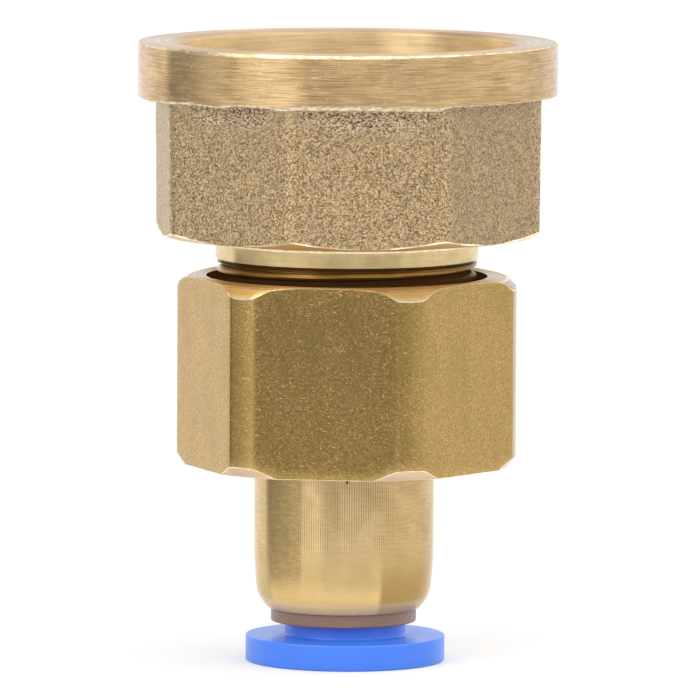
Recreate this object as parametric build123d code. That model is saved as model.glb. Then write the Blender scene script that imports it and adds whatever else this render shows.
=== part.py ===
from build123d import *
import math
import os

# Straight flow control valve: a push-in fitting for plastic tube at the bottom,
# a threaded socket adapter at the top and a check-and-meter cartridge between them.
# Millimetres. +Z runs along the flow axis from the tube end to the socket end.
# The origin is the centre of the release sleeve's flat end, which the part stands on.

# ---- fits and clearances -------------------------------------------------------
slip = 0.05              # radial gap of a piece laid in a bore
running = 0.08           # radial gap of pieces that turn or slide in each other
seat_gap = 0.02          # axial gap left where one piece rests on another
thread_gap = 0.09        # radial gap between the plain male and female thread walls

# ---- tube side -----------------------------------------------------------------
tube_diameter = 8.0
tube_gap = 0.10          # radial gap between tube and sleeve bore
tooth_bite = 0.12        # how far the grab ring's teeth reach into the tube
seal_bite = 0.05         # how far the relaxed tube seal reaches into the tube

flange_overhang = 3.02   # from the sleeve's outside to the flange's edge
flange_thickness = 2.0
flange_bottom_round = 0.15
flange_top_round = 0.12
sleeve_wall = 0.55
sleeve_root_round = 0.2
sleeve_mouth_chamfer = 0.5
sleeve_stop_gap = 0.03   # left between flange and guide ring when pushed home
barb_height = 0.3
barb_length = 0.5
nose_length = 0.9
nose_lip = 0.15          # wall of the sleeve's thin leading edge

guide_wall = 0.87        # of the part that shows below the neck
guide_shoulder_wall = 1.02
guide_stand_out = 1.02   # how far the guide ring shows below the neck
guide_round = 0.12
guide_length = 4.42

grab_thickness = 0.25
grab_rim_width = 1.05
grab_angle = 40.0
grab_teeth = 12
grab_slot = 0.5
grab_flex = 1.73         # how many times taller the teeth stand when pushed open

backup_wall = 0.85
backup_floor = 0.7

tube_land = 4.6          # length of the plain bore that steadies the tube
tube_stop_ledge = 0.9
tube_stop_thickness = 1.1

# ---- neck and hexagon ----------------------------------------------------------
neck_wall = 0.83
neck_end = 4.1
neck_roll_height = 2.0   # height of the rolled-in end
neck_roll_radius = 2.75
neck_taper = 0.15        # how much the neck narrows down to the rolled-in end
neck_taper_height = 2.3
lip_width = 0.15
lip_depth = 0.5
lip_slope = 0.85         # height of the cone behind the lip

hex_across_flats = 24.0
hex_corner_trim = 0.806  # taken off the sharp corners by turning
hex_bottom = 15.15
hex_height = 14.75
hex_bottom_chamfer_radius = 12.5
hex_bottom_chamfer_height = 0.75
hex_top_chamfer_radius = 12.05
hex_shoulder_inset = 0.15  # the top chamfer steepens where it is this far from the corners
hex_shoulder_drop = 0.56
hex_top_chamfer_height = 1.02

# ---- body and adapter thread, drawn as plain walls -------------------------------
stub_diameter = 20.0
stub_chamfer = 0.8
stub_gap_height = 1.25   # from the hexagon's top to the adapter's smooth band
relief_depth = 0.35
relief_width = 0.25
cavity_countersink = 0.76
gasket_thickness = 1.5
gasket_width = 3.0

# ---- socket adapter ------------------------------------------------------------
band_diameter = 20.2
band_height = 1.75
band_flare = 0.6         # the widening at the band's upper end
octagon_across_flats = 28.6
octagon_height = 10.9
octagon_corner_round = 1.6
octagon_chamfer_inset = 0.1
octagon_chamfer_angle = 27.0
octagon_turn = 14.3      # degrees between hexagon and octagon flats once tight
collar_diameter = 32.2
collar_height = 4.0
collar_edge_depth = 0.08
collar_edge_height = 0.26
collar_inner_chamfer = 0.23
socket_thread_diameter = 24.12
socket_thread_length = 7.0
socket_mouth_step = 1.04
socket_mouth_depth = 2.6
socket_undercut_step = 1.19
socket_depth = 11.8
port_diameter = 11.2
washer_thickness = 2.0
washer_bore_diameter = 15.0

# ---- check-and-meter cartridge -------------------------------------------------
seat_diameter = 7.2
seat_thickness = 1.9
poppet_seal_section = 0.7
poppet_seal_land = 0.45  # from the seat's edge to the middle of the seal ring
poppet_rim = 0.55        # from the middle of the seal ring to the poppet's edge
poppet_head_thickness = 1.05
poppet_stem_diameter = 3.0
poppet_nose_wall = 0.95
poppet_nose_length = 2.05
poppet_passage_diameter = 1.4
poppet_travel = 1.5
flow_gap = 0.8           # round the poppet in its chamber

jet_diameter = 2.5
jet_length = 2.6
jet_head_step = 0.55
jet_head_thickness = 0.6
jet_orifice_diameter = 1.0
jet_slot_width = 0.5

guide_ledge = 0.7
head_recess_depth = 2.1
guide_hub_wall = 1.02
guide_hub_length = 2.3
guide_spoke_width = 1.3
guide_spoke_count = 3
guide_rim_thickness = 1.5
guide_rim_width = 1.0

housing_wall = 1.12      # round the recess for guide and strainer
housing_seal_section = 1.0
housing_seal_inset = 0.02
housing_seal_height = 5.6  # from the housing's lower end to its seal
cartridge_bore_chamfer = 0.5
cartridge_bore_depth = 13.4

circlip_offset = 1.0     # from the stub's end to the circlip groove
circlip_thickness = 1.0
circlip_width = 1.1
circlip_groove_depth = 0.45
circlip_mouth = 5.0
circlip_lug_radius = 1.25
circlip_hole_radius = 0.5

spring_wire = 0.5
spring_turns = 5.0
spring_gap = 0.35        # radial gap between spring and stem

strainer_thickness = 0.5
strainer_hole_diameter = 1.0
strainer_hole_spacing = 1.5
strainer_rings = 2

# ---- radii and heights worked out from the sizes above --------------------------
tube_radius = tube_diameter / 2
sleeve_bore = tube_radius + tube_gap
sleeve_radius = sleeve_bore + sleeve_wall
barb_radius = sleeve_radius + barb_height
flange_radius = sleeve_radius + flange_overhang
bite_radius = tube_radius - tooth_bite
tube_bore = sleeve_bore + slip

guide_bore = sleeve_radius + running
guide_radius = guide_bore + guide_wall
barb_room = barb_radius + running
inner_radius = barb_room + guide_shoulder_wall  # outside of every ring laid in the neck
neck_bore = inner_radius + slip
neck_radius = neck_bore + neck_wall
lip_inner = guide_radius + slip
lip_outer = lip_inner + lip_width
lip_top = neck_end + lip_depth

guide_bottom = neck_end - guide_stand_out
guide_top = guide_bottom + guide_length
sleeve_travel = guide_bottom - flange_thickness - sleeve_stop_gap
guide_step = guide_top - barb_length - sleeve_travel - seat_gap - slip
barb_bottom = guide_step + seat_gap

grab_bottom = guide_top
grab_rim_inner = inner_radius - grab_rim_width
tooth_rise = (grab_rim_inner - bite_radius) * math.tan(math.radians(grab_angle))
tooth_thickness = grab_thickness / math.cos(math.radians(grab_angle))
tooth_room = grab_flex * (tooth_rise + tooth_thickness)
backup_bottom = grab_bottom + grab_thickness
backup_top = grab_bottom + tooth_room + backup_floor
tube_seal_section = inner_radius - tube_radius + seal_bite
seal_bottom = backup_top + seat_gap
seal_shoulder = seal_bottom + tube_seal_section + seat_gap
tube_stop = seal_shoulder + tube_land
flow_bore = tube_radius - tube_stop_ledge
cavity_floor = tube_stop + tube_stop_thickness

hex_top = hex_bottom + hex_height
hex_corner_radius = hex_across_flats / 2 / math.cos(math.radians(30)) - hex_corner_trim
hex_shoulder_radius = hex_corner_radius - hex_shoulder_inset
stub_radius = stub_diameter / 2
cavity_radius = stub_radius + thread_gap
cavity_mouth = cavity_radius + cavity_countersink
stub_end = cavity_floor + gasket_thickness + seat_gap
band_bottom = hex_top + stub_gap_height
octagon_bottom = band_bottom + band_height
collar_bottom = octagon_bottom + octagon_height
collar_top = collar_bottom + collar_height
collar_radius = collar_diameter / 2
socket_radius = socket_thread_diameter / 2
socket_mouth = socket_radius + socket_mouth_step
socket_undercut = socket_radius + socket_undercut_step
socket_floor = collar_top - socket_depth
socket_thread_top = collar_top - socket_mouth_depth
socket_thread_bottom = socket_thread_top - socket_thread_length

poppet_seal_radius = seat_diameter / 2 + poppet_seal_land
poppet_radius = poppet_seal_radius + poppet_rim
chamber_radius = poppet_radius + flow_gap
recess_radius = chamber_radius + guide_ledge
housing_radius = recess_radius + housing_wall
cartridge_bore = housing_radius + running
cartridge_shoulder = stub_end + cartridge_bore_depth
circlip_bottom = stub_end + circlip_offset
housing_bottom = circlip_bottom + circlip_thickness + 2 * slip
housing_top = cartridge_shoulder - 2 * slip
seat_face = housing_bottom + seat_thickness
recess_floor = housing_top - head_recess_depth

poppet_bottom = seat_face + seat_gap + poppet_seal_section / 2
poppet_top = poppet_bottom + poppet_head_thickness
nose_bottom = poppet_bottom - poppet_nose_length
hub_top = recess_floor + guide_rim_thickness
hub_bottom = hub_top - guide_hub_length
stem_top = hub_top - poppet_travel
stem_radius = poppet_stem_diameter / 2
guide_stem_bore = stem_radius + running
hub_radius = guide_stem_bore + guide_hub_wall
strainer_bottom = hub_top + seat_gap


def outline(points, rounds=()):
    """A flat face from (radius, height) points, with rounds as (point, radius) pairs."""
    face = make_face(Polyline(*points, close=True))
    for point, radius in rounds:
        corner = face.vertices().sort_by_distance(point)[0]
        face = fillet(corner, radius)
    return face


def turned(face):
    """The solid that a (radius, height) face sweeps about the flow axis."""
    return revolve(Plane.XZ * face, Axis.Z)


def ring(inner, outer, bottom, top):
    """A plain ring about the flow axis."""
    return turned(outline([(inner, bottom), (outer, bottom), (outer, top), (inner, top)]))


def o_ring(middle_radius, section_radius, height):
    """A round-section seal ring about the flow axis."""
    return Pos(0, 0, height) * Torus(middle_radius, section_radius)


def prism(across_flats, sides, turn, bottom, top, corner_round=0):
    """An upright polygon bar with a flat facing -Y, turned by some degrees."""
    flat_to_front = 0 if sides % 4 == 2 else 180 / sides
    section = RegularPolygon(across_flats / 2, sides, major_radius=False, rotation=flat_to_front + turn)
    if corner_round:
        section = fillet(section.vertices(), corner_round)
    return Pos(0, 0, bottom) * extrude(section, top - bottom)


# ---- push-in tube side -----------------------------------------------------------
def release_sleeve():
    """Flanged sleeve that is pushed in to open the grab ring; its barb keeps it in the guide ring."""
    barb_top = barb_bottom + barb_length
    nose_top = barb_top + nose_length
    mouth = sleeve_bore + sleeve_mouth_chamfer
    face = outline(
        [
            (mouth, 0),
            (flange_radius, 0),
            (flange_radius, flange_thickness),
            (sleeve_radius, flange_thickness),
            (sleeve_radius, barb_bottom),
            (barb_radius, barb_bottom),
            (barb_radius, barb_top),
            (sleeve_bore + nose_lip, nose_top),
            (sleeve_bore, nose_top),
            (sleeve_bore, sleeve_mouth_chamfer),
        ],
        [
            ((flange_radius, 0), flange_bottom_round),
            ((flange_radius, flange_thickness), flange_top_round),
            ((sleeve_radius, flange_thickness), sleeve_root_round),
        ],
    )
    return turned(face)


def guide_ring():
    """Plastic ring that guides the sleeve; the rolled neck holds it by its shoulder."""
    mouth_chamfer = sleeve_root_round + slip
    shoulder_bottom = lip_top + slip
    shoulder_top = shoulder_bottom + lip_slope
    face = outline(
        [
            (guide_bore + mouth_chamfer, guide_bottom),
            (guide_radius, guide_bottom),
            (guide_radius, shoulder_bottom),
            (inner_radius, shoulder_top),
            (inner_radius, guide_top),
            (barb_room, guide_top),
            (barb_room, guide_step),
            (guide_bore, guide_step),
            (guide_bore, guide_bottom + mouth_chamfer),
        ],
        [((guide_radius, guide_bottom), guide_round)],
    )
    return turned(face)


def grab_ring():
    """Spring-steel ring whose sloping teeth bite into the tube."""
    rim = ring(grab_rim_inner, inner_radius, grab_bottom, grab_bottom + grab_thickness)
    teeth = turned(
        outline(
            [
                (grab_rim_inner, grab_bottom),
                (grab_rim_inner, grab_bottom + tooth_thickness),
                (bite_radius, grab_bottom + tooth_rise + tooth_thickness),
                (bite_radius, grab_bottom + tooth_rise),
            ]
        )
    )
    slot_height = 2 * (tooth_rise + tooth_thickness)
    slot = Box(grab_rim_inner, grab_slot, slot_height, align=(Align.MIN, Align.CENTER, Align.CENTER))
    slots = [Rot(0, 0, 360 / grab_teeth * i) * Pos(0, 0, grab_bottom) * slot for i in range(grab_teeth)]
    return rim + (teeth - slots)


def backup_ring():
    """Ring that spaces the grab ring from the seal and leaves the teeth room to flex."""
    room = grab_bottom + tooth_room
    wall_inner = inner_radius - backup_wall
    return turned(
        outline(
            [
                (wall_inner, backup_bottom),
                (inner_radius, backup_bottom),
                (inner_radius, backup_top),
                (tube_bore, backup_top),
                (tube_bore, room),
                (wall_inner, room),
            ]
        )
    )


def tube_seal():
    """Seal ring that grips the tube."""
    section = tube_seal_section / 2
    return o_ring(inner_radius - section, section, seal_bottom + section)


def hex_body():
    """Turned hexagon body with the tube neck below and the threaded cavity above."""
    blank = turned(
        outline(
            [
                (0, hex_bottom),
                (hex_bottom_chamfer_radius, hex_bottom),
                (hex_corner_radius, hex_bottom + hex_bottom_chamfer_height),
                (hex_corner_radius, hex_top - hex_top_chamfer_height),
                (hex_shoulder_radius, hex_top - hex_shoulder_drop),
                (hex_top_chamfer_radius, hex_top),
                (0, hex_top),
            ]
        )
    )
    body = blank & prism(hex_across_flats, 6, 0, hex_bottom, hex_top)

    roll_start = (neck_radius - neck_taper, neck_end + neck_roll_height)
    taper_start = (neck_radius, roll_start[1] + neck_taper_height)
    neck_outline = Curve() + [
        Polyline(roll_start, taper_start, (neck_radius, hex_bottom), (0, hex_bottom), (0, neck_end)),
        Line((0, neck_end), (lip_outer, neck_end)),
        RadiusArc((lip_outer, neck_end), roll_start, -neck_roll_radius),
    ]
    body += turned(make_face(neck_outline))

    tube_side = turned(
        outline(
            [
                (0, neck_end),
                (lip_inner, neck_end),
                (lip_inner, lip_top),
                (neck_bore, lip_top + lip_slope),
                (neck_bore, seal_shoulder),
                (tube_bore, seal_shoulder),
                (tube_bore, tube_stop),
                (flow_bore, tube_stop),
                (flow_bore, cavity_floor),
                (0, cavity_floor),
            ]
        )
    )
    cavity = turned(
        outline(
            [
                (0, cavity_floor),
                (cavity_radius, cavity_floor),
                (cavity_radius, hex_top - cavity_countersink),
                (cavity_mouth, hex_top),
                (0, hex_top),
            ]
        )
    )
    return body - tube_side - cavity


def face_gasket():
    """Flat gasket on the cavity floor that the adapter's stub is tightened on."""
    outer = cavity_radius - slip
    return ring(outer - gasket_width, outer, cavity_floor, cavity_floor + gasket_thickness)


# ---- socket adapter ----------------------------------------------------------------
def socket_adapter():
    """Forged octagon with a turned collar, a female socket above and a male stub below."""
    octagon = prism(
        octagon_across_flats, 8, octagon_turn, octagon_bottom, collar_bottom, octagon_corner_round
    )
    foot_radius = octagon_across_flats / 2 - octagon_chamfer_inset
    rise = (collar_radius - foot_radius) * math.tan(math.radians(octagon_chamfer_angle))
    octagon &= turned(
        outline(
            [
                (0, octagon_bottom),
                (foot_radius, octagon_bottom),
                (collar_radius, octagon_bottom + rise),
                (collar_radius, collar_bottom),
                (0, collar_bottom),
            ]
        )
    )

    collar = turned(
        outline(
            [
                (0, collar_bottom),
                (collar_radius, collar_bottom),
                (collar_radius, collar_top - collar_edge_height),
                (collar_radius - collar_edge_depth, collar_top),
                (0, collar_top),
            ]
        )
    )

    band_radius = band_diameter / 2
    relief_radius = stub_radius - relief_depth
    relief_bottom = band_bottom - relief_width
    stem = turned(
        outline(
            [
                (0, stub_end),
                (stub_radius - stub_chamfer, stub_end),
                (stub_radius, stub_end + stub_chamfer),
                (stub_radius, relief_bottom),
                (relief_radius, relief_bottom),
                (relief_radius, band_bottom),
                (band_radius, band_bottom),
                (band_radius, octagon_bottom - band_flare),
                (band_radius + band_flare, octagon_bottom),
                (0, octagon_bottom),
            ]
        )
    )
    return octagon + collar + stem - socket_bore() - cartridge_bore_cut()


def socket_bore():
    """The space of the female socket: mouth, plain thread wall, undercut and port."""
    port = port_diameter / 2
    return turned(
        outline(
            [
                (0, cartridge_shoulder),
                (port, cartridge_shoulder),
                (port, socket_floor),
                (socket_undercut, socket_floor),
                (socket_undercut, socket_thread_bottom - socket_undercut_step),
                (socket_radius, socket_thread_bottom),
                (socket_radius, socket_thread_top - socket_mouth_step),
                (socket_mouth, socket_thread_top),
                (socket_mouth, collar_top - collar_inner_chamfer),
                (socket_mouth + collar_inner_chamfer, collar_top),
                (0, collar_top),
            ]
        )
    )


def cartridge_bore_cut():
    """The bore in the stub that the cartridge is pushed into, with its circlip groove."""
    groove = cartridge_bore + circlip_groove_depth
    groove_top = circlip_bottom + circlip_thickness + slip
    mouth = cartridge_bore + cartridge_bore_chamfer
    return turned(
        outline(
            [
                (0, stub_end),
                (mouth, stub_end),
                (cartridge_bore, stub_end + cartridge_bore_chamfer),
                (cartridge_bore, circlip_bottom - slip),
                (groove, circlip_bottom - slip),
                (groove, groove_top),
                (cartridge_bore, groove_top),
                (cartridge_bore, cartridge_shoulder),
                (0, cartridge_shoulder),
            ]
        )
    )


def port_washer():
    """Flat washer on the socket floor that a pipe end is tightened on."""
    outer = socket_radius - 2 * slip
    return ring(washer_bore_diameter / 2, outer, socket_floor, socket_floor + washer_thickness)


# ---- cartridge ---------------------------------------------------------------------
def valve_housing():
    """Cartridge shell with the poppet's seat, a seal groove and a recess for guide and strainer."""
    body = turned(
        outline(
            [
                (seat_diameter / 2, housing_bottom),
                (housing_radius, housing_bottom),
                (housing_radius, housing_top),
                (recess_radius, housing_top),
                (recess_radius, recess_floor),
                (chamber_radius, recess_floor),
                (chamber_radius, seat_face),
                (seat_diameter / 2, seat_face),
            ]
        )
    )
    groove_floor = cartridge_bore - running - housing_seal_section
    groove_middle = housing_bottom + housing_seal_height
    half_groove = housing_seal_section / 2 + 2 * slip
    groove_bottom = groove_middle - half_groove
    return body - ring(groove_floor, cartridge_bore, groove_bottom, groove_bottom + 2 * half_groove)


def housing_seal():
    """Seal ring between the cartridge and the adapter's bore."""
    section = housing_seal_section / 2
    middle = housing_bottom + housing_seal_height
    return o_ring(housing_radius - section, section - housing_seal_inset, middle)


def retaining_ring():
    """Internal circlip with two plier lugs that holds the cartridge in the stub."""
    outer = cartridge_bore + circlip_groove_depth - slip
    inner = outer - circlip_width
    top = circlip_bottom + circlip_thickness
    clip = ring(inner, outer, circlip_bottom, top)
    mouth = Pos(0, -outer, circlip_bottom) * Box(
        circlip_mouth, outer, circlip_thickness, align=(Align.CENTER, Align.CENTER, Align.MIN)
    )
    clip -= mouth
    for side in (-1, 1):
        lug_x = side * (circlip_mouth / 2 + circlip_lug_radius * 0.6)
        lug_y = -math.sqrt((inner - circlip_lug_radius * 0.6) ** 2 - lug_x**2)
        spot = Pos(lug_x, lug_y, circlip_bottom)
        lug = spot * Cylinder(
            circlip_lug_radius, circlip_thickness, align=(Align.CENTER, Align.CENTER, Align.MIN)
        )
        eye = spot * Cylinder(
            circlip_hole_radius, circlip_thickness, align=(Align.CENTER, Align.CENTER, Align.MIN)
        )
        clip = clip + lug - eye
    return clip


def poppet():
    """Check poppet: head, guiding nose and hollow stem."""
    passage = poppet_passage_diameter / 2
    jet = jet_diameter / 2 + seat_gap
    nose = jet + poppet_nose_wall
    body = turned(
        outline(
            [
                (jet, nose_bottom),
                (nose, nose_bottom),
                (nose, poppet_bottom),
                (poppet_radius, poppet_bottom),
                (poppet_radius, poppet_top),
                (stem_radius, poppet_top),
                (stem_radius, stem_top),
                (passage, stem_top),
                (passage, nose_bottom + jet_length + slip),
                (jet, nose_bottom + jet_length + slip),
            ]
        )
    )
    half_width = poppet_seal_section / 2 + seat_gap
    inner = poppet_seal_radius - half_width
    return body - ring(inner, inner + 2 * half_width, poppet_bottom, poppet_bottom + half_width)


def poppet_seal():
    """Seal ring in the poppet's face that closes on the seat."""
    return o_ring(poppet_seal_radius, poppet_seal_section / 2, poppet_bottom)


def metering_jet():
    """Slotted jet in the poppet's nose; its orifice sets the metered flow."""
    shank = jet_diameter / 2
    head = shank + jet_head_step
    orifice = jet_orifice_diameter / 2
    head_bottom = nose_bottom - jet_head_thickness
    body = turned(
        outline(
            [
                (orifice, head_bottom),
                (head, head_bottom),
                (head, nose_bottom),
                (shank, nose_bottom),
                (shank, nose_bottom + jet_length),
                (orifice, nose_bottom + jet_length),
            ]
        )
    )
    slot = Pos(0, 0, head_bottom) * Box(3 * head, jet_slot_width, jet_head_thickness)
    return body - slot


def poppet_spring():
    """Coil spring between the poppet's head and the guide's hub."""
    wire = spring_wire / 2
    coil = stem_radius + spring_gap + wire
    bottom = poppet_top + wire + seat_gap
    height = hub_bottom - poppet_top - 2 * (wire + seat_gap)
    path = Helix(height / spring_turns, height, coil)
    section = Plane(path @ 0, z_dir=path % 0) * Circle(wire)
    return Pos(0, 0, bottom) * sweep(section, path=path, is_frenet=True)


def spring_guide():
    """Spoked guide that steadies the poppet's stem and backs the spring."""
    rim_outer = recess_radius - slip
    rim_inner = rim_outer - guide_rim_width
    body = ring(rim_inner, rim_outer, recess_floor, hub_top)
    body += ring(guide_stem_bore, hub_radius, hub_bottom, hub_top)
    spoke_start = (guide_stem_bore + hub_radius) / 2
    spoke_end = (rim_inner + rim_outer) / 2
    spoke = Pos(spoke_start, 0, recess_floor) * Box(
        spoke_end - spoke_start,
        guide_spoke_width,
        guide_rim_thickness,
        align=(Align.MIN, Align.CENTER, Align.MIN),
    )
    for i in range(guide_spoke_count):
        body += Rot(0, 0, 360 / guide_spoke_count * i) * spoke
    return body


def strainer_screen():
    """Perforated disc over the cartridge that keeps dirt out of the jet."""
    plate = Pos(0, 0, strainer_bottom) * Cylinder(
        recess_radius - slip,
        strainer_thickness,
        align=(Align.CENTER, Align.CENTER, Align.MIN),
    )
    hole = Cylinder(
        strainer_hole_diameter / 2, strainer_thickness, align=(Align.CENTER, Align.CENTER, Align.MIN)
    )
    holes = [Pos(0, 0, strainer_bottom) * hole]
    for ring_number in range(1, strainer_rings + 1):
        count = 6 * ring_number
        for i in range(count):
            turn = Rot(0, 0, 360 / count * i)
            holes.append(turn * Pos(ring_number * strainer_hole_spacing, 0, strainer_bottom) * hole)
    return plate - holes


pieces = [
    release_sleeve,
    guide_ring,
    grab_ring,
    backup_ring,
    tube_seal,
    hex_body,
    face_gasket,
    socket_adapter,
    port_washer,
    valve_housing,
    housing_seal,
    retaining_ring,
    poppet,
    poppet_seal,
    metering_jet,
    poppet_spring,
    spring_guide,
    strainer_screen,
]

os.makedirs("parts", exist_ok=True)
for piece in pieces:
    solid = piece()
    solid.label = piece.__name__
    export_step(solid, os.path.join("parts", piece.__name__ + ".step"))
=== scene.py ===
"""Looks of the flow control valve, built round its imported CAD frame. +Z runs up the flow axis."""

import math

import bpy
import numpy as np
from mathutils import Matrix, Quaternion, Vector, noise


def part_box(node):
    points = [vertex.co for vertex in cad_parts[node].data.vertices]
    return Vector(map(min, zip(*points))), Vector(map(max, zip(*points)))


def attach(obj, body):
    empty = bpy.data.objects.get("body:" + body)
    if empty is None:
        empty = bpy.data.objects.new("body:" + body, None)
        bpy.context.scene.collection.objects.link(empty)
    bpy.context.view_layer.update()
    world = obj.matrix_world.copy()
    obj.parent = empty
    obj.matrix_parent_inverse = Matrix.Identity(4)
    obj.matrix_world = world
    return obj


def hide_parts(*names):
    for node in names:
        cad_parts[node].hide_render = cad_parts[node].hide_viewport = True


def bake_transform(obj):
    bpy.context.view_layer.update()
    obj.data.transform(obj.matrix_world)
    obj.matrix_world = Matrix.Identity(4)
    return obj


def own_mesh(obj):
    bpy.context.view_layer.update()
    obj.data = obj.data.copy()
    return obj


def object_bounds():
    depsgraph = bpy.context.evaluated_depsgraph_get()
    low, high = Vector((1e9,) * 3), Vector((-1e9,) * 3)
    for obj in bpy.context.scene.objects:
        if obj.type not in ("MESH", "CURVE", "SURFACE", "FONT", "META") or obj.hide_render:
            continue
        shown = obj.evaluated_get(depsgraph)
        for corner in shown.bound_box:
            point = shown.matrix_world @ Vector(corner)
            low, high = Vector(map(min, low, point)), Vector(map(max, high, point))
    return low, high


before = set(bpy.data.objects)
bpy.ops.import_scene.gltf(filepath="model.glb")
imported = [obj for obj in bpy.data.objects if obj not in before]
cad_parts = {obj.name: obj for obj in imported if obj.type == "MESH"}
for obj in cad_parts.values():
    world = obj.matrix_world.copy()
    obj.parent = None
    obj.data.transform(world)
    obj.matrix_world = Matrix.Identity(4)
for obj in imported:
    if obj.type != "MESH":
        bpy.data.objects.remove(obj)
cad_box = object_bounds()
MM = 0.001

# ---- sizes shared with the CAD part, in millimetres --------------------------------
sleeve_bore = 4.10
sleeve_radius = 4.65
sleeve_step = 5.95
sleeve_barb_top = 6.45
sleeve_top = 7.35
barb_radius = 4.95
flange_radius = 7.67
flange_thickness = 2.0
guide_bore = 4.73
guide_radius = 5.60
guide_bottom = 3.08
guide_step = 5.93
guide_top = 7.5
inner_radius = 6.05
grab_rim_inner = 5.0
grab_thickness = 0.25
grab_angle = 40.0
grab_teeth = 12
grab_slot = 0.5
bite_radius = 3.88

neck_radius = 6.93
neck_bore = 6.1
neck_end = 4.1
roll_top = 6.1
roll_top_radius = 6.78
roll_radius = 2.75
neck_aside = 0.13       # the neck stands off the axis by this much, to the camera's left
taper_top = 8.4
lip_inner = 5.65
lip_outer = 5.80

hex_flat = 11.83
hex_corner = 13.08
hex_foot = 12.4
hex_foot_height = 0.62
# the profile of the hexagon's top chamfer as traced: radii, and how far it has dropped there
hex_crown = (11.4, 12.0, 12.24, 12.5, 12.64, 12.81, 13.0, 13.08)
hex_crown_drop = (0.0, 0.05, 0.13, 0.22, 0.34, 0.48, 0.62, 0.66)
hex_dip = 0.3            # how far the chamfers dip further at the middle of each corner
hex_bottom = 15.15
hex_top = 29.78
cavity_radius = 10.09
cavity_mouth = 10.85
cavity_floor = 18.23
seal_shoulder = 12.53
tube_bore = 4.15
tube_stop = 17.13
flow_bore = 3.1

body_pitch = 1.0
body_thread_depth = 0.58
stub_radius = 10.0
stub_end = 19.75
relief_radius = 9.65
band_radius = 10.1
band_bottom = 31.15
band_flare = 0.6
cartridge_bore = 7.3
cartridge_shoulder = 33.15
circlip_bottom = 20.7
circlip_top = 21.8
circlip_groove = 7.75

octagon_flat = 14.3
octagon_round = 1.6
octagon_turn = 14.3
octagon_bottom = 32.9
octagon_foot = 14.2
octagon_chamfer_slope = math.tan(math.radians(27))
octagon_draft = 0.1
collar_bottom = 43.8
collar_top = 47.75
collar_radius = 16.1
collar_edge_depth = 0.08
collar_edge_height = 0.26
# How far the collar's ragged lower edge hangs down, and how far its burr reaches, by degrees to
# the right of the camera's azimuth. Traced; guessed beyond 70 to the left, 60 to the right.
overhang_droop = (
    (-110, 0.15), (-70, 0.37), (-56, 0.29), (-50, 0.20), (-43, 0.25), (-37, 0.31), (-32, 0.10),
    (-27, 0.11), (-22, 0.18), (-18, 0.36), (-5, 0.29), (9, 0.30), (26, 0.40), (29, 0.02),
    (60, 0.0), (120, 0.12),
)
overhang_burr = (
    (-110, 0.12), (-50, 0.26), (-42, 0.16), (-24, 0.20), (-19, 0.18), (-16, 0.46), (26, 0.42),
    (29, 0.05), (60, 0.05), (120, 0.12),
)
bevel_middle = -20      # the collar's top bevel is wide round this azimuth
bevel_reach = 52
port_radius = 5.6
socket_floor = 36.0
socket_undercut = 13.25
socket_mouth = 13.1
socket_mouth_floor = 45.2
socket_pitch = 1.814
socket_thread_radius = 12.06
socket_thread_depth = 1.0
socket_thread_bottom = 38.2
socket_thread_top = 44.16

spring_wire = 0.5
spring_turns = 5.0
sharp_angle = math.radians(38)


# ---- camera, in metres ---------------------------------------------------------------
view_azimuth = math.radians(7.85)
view_pitch = math.radians(5.6)
view_distance = 0.805
view_lens = 538.2
view_aside = 0.00027
view_rise = 0.00008
view_roll = math.radians(0.3)


def wave(count, seed):
    """A smooth random value from -1 to 1 for an angle, with about count swings per turn."""
    reach = count / math.tau

    def at(angle):
        spot = Vector((math.cos(angle) * reach, math.sin(angle) * reach, seed))
        return noise.noise(spot) * 1.6

    return at


def around(angles, count, seed):
    """wave() at each of the angles."""
    value = wave(count, seed)
    return np.array([value(a) for a in angles])


# ---- meshes ------------------------------------------------------------------------
def add_piece(name, points, faces, materials, slots=None):
    """A smooth mesh object in the scene, with a material slot for each face where given."""
    mesh = bpy.data.meshes.new(name)
    mesh.from_pydata(points, [], faces)
    for material in materials:
        mesh.materials.append(material)
    if slots is not None:
        mesh.polygons.foreach_set("material_index", slots)
    mesh.shade_smooth()
    mesh.set_sharp_from_angle(angle=sharp_angle)
    mesh.update()
    piece = bpy.data.objects.new(name, mesh)
    bpy.context.scene.collection.objects.link(piece)
    return piece


class Corner:
    """A corner of a turned or prismatic outline: radius and height may differ by column."""

    def __init__(self, radius, height, rounding=0.0, look=0, edge=None, rows=1, shape=None):
        self.radius = radius
        self.height = height
        self.rounding = rounding
        self.look = look        # of the surface from here to the next corner
        self.edge = look if edge is None else edge
        self.rows = rows        # in the stretch from here to the next corner
        self.shape = shape      # changes the radii along that stretch


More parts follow.
